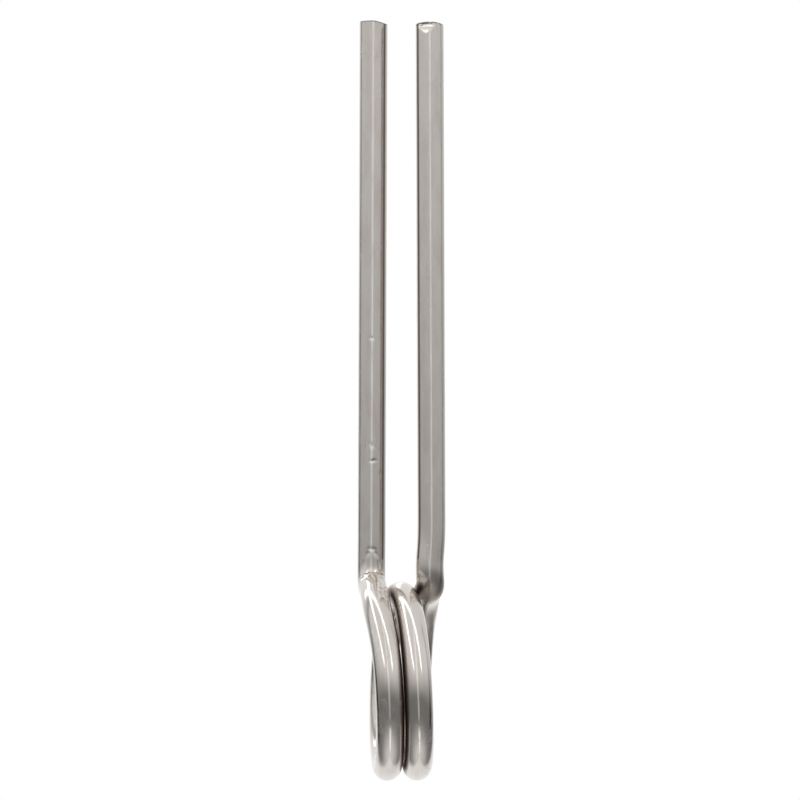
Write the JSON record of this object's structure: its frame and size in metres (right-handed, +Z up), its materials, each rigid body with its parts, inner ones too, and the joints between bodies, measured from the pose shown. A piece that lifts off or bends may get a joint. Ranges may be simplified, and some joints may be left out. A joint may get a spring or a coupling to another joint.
{
  "type": "two-pronged wire needle",
  "caption": "Wire needle with two straight parallel prongs joined by a close-wound double coil that lets them flex and spring back.",
  "frame": {"origin": "middle of the coil, on the coil's axis", "axes": "+X along the coil's axis from the left leg to the right leg, +Y to the back, +Z up along the legs towards their cut ends"},
  "size_m": [0.0094, 0.0214, 0.0814],
  "materials": {
    "polished_steel_wire": "bright drawn stainless wire, polished, with fine lengthwise drawing lines"
  },
  "bodies": {
    "coil": {"crossing": "polished_steel_wire", "left_turn": "polished_steel_wire", "right_turn": "polished_steel_wire", "right_elbow": "polished_steel_wire"},
    "left_root": {"left_elbow": "polished_steel_wire"},
    "left_prong": {"left_leg": "polished_steel_wire"},
    "right_prong": {"right_leg": "polished_steel_wire"}
  },
  "joints": [
    {"name": "coil_twist", "type": "hinge", "parent": "coil", "child": "left_root", "pos_m": [0, 0, 0], "axis": [1, 0, 0], "range_deg": [-18, 10], "stiffness_Nm_per_rad": 6.7, "deforming": ["left_turn", "crossing", "right_turn"]},
    {"name": "left_leg_flex", "type": "hinge", "parent": "left_root", "child": "left_prong", "pos_m": [-0.00319, 0.00095, 0.01302], "axis": [0, 1, 0], "range_deg": [-4, 1.4], "stiffness_Nm_per_rad": 9.2, "deforming": ["left_elbow"]},
    {"name": "right_leg_flex", "type": "hinge", "parent": "coil", "child": "right_prong", "pos_m": [0.00319, -0.00095, 0.01302], "axis": [0, 1, 0], "range_deg": [-1.4, 4], "stiffness_Nm_per_rad": 9.2, "deforming": ["right_elbow"]}
  ],
  "couplings": [
    {"joint": "right_leg_flex", "follows": "left_leg_flex", "ratio": -1}
  ]
}
